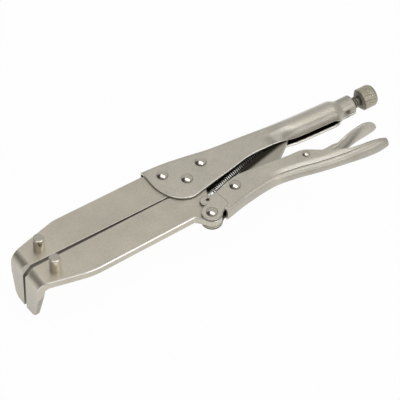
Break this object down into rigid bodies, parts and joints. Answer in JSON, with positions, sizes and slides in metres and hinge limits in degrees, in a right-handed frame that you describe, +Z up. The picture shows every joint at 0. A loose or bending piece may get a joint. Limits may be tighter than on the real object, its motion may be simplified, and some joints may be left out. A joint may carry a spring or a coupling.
{
  "type": "long-reach locking pliers",
  "caption": "Toggle-locking pliers with long flat jaws, turned-down tips and an upright peg on each jaw, locked by a lever handle and set by a knurled screw.",
  "frame": {"origin": "middle of the footprint, at the height of the lower ends of the jaw tips", "axes": "+X along the tool toward the adjusting knob, +Y toward the back of the fixed handle, +Z up toward the pegs"},
  "size_m": [0.3208, 0.0782, 0.0558],
  "materials": {
    "plated_sheet": "satin nickel plate on folded sheet steel",
    "plated_jaw": "satin nickel plate on forged steel",
    "polished_steel": "bright plated",
    "spring_steel": "dull plated"
  },
  "bodies": {
    "frame": {"fixed_handle": "plated_sheet", "fixed_jaw": "plated_jaw", "fixed_jaw_peg": "polished_steel", "front_jaw_rivet": "polished_steel", "rear_jaw_rivet": "polished_steel", "jaw_pivot_rivet": "polished_steel", "return_spring": "spring_steel"},
    "moving_jaw": {"moving_jaw": "plated_jaw", "moving_jaw_peg": "polished_steel"},
    "lower_handle": {"lower_handle": "plated_sheet", "handle_rivet": "polished_steel", "toggle_rivet": "polished_steel", "release_rivet": "polished_steel"},
    "toggle_link": {"toggle_link": "plated_jaw"},
    "release_lever": {"release_lever": "plated_sheet"},
    "adjusting_screw": {"adjusting_screw": "spring_steel"},
    "adjusting_knob": {"adjusting_knob": "plated_jaw"}
  },
  "joints": [
    {"name": "jaw_open", "type": "hinge", "parent": "frame", "child": "moving_jaw", "pos_m": [-0.0104, 0.01325, 0.0392], "axis": [0, 0, 1], "range_deg": [0, 14]},
    {"name": "handle_swing", "type": "hinge", "parent": "moving_jaw", "child": "lower_handle", "pos_m": [-0.0126, -0.02495, 0.0392], "axis": [0, 0, 1], "range_deg": [-50, 0], "deforming": ["return_spring"]},
    {"name": "link_swing", "type": "hinge", "parent": "lower_handle", "child": "toggle_link", "pos_m": [0.0167, -0.01205, 0.0392], "axis": [0, 0, 1], "range_deg": [0, 55.6]},
    {"name": "lever_press", "type": "hinge", "parent": "lower_handle", "child": "release_lever", "pos_m": [0.0793, -0.01565, 0.0392], "axis": [0, 0, 1], "range_deg": [-7, 0]},
    {"name": "screw_travel", "type": "slide", "parent": "frame", "child": "adjusting_screw", "axis": [1, 0, 0], "range_m": [0, 0.015]},
    {"name": "knob_turn", "type": "hinge", "parent": "adjusting_screw", "child": "adjusting_knob", "pos_m": [0.1464, 0.0111, 0.0392], "axis": [1, 0, 0], "range_deg": [0, 3600]}
  ],
  "couplings": [
    {"joint": "jaw_open", "follows": "handle_swing", "ratio": -0.28},
    {"joint": "link_swing", "follows": "handle_swing", "ratio": -1.112},
    {"joint": "knob_turn", "follows": "screw_travel", "rad_per_m": 4188.8}
  ]
}
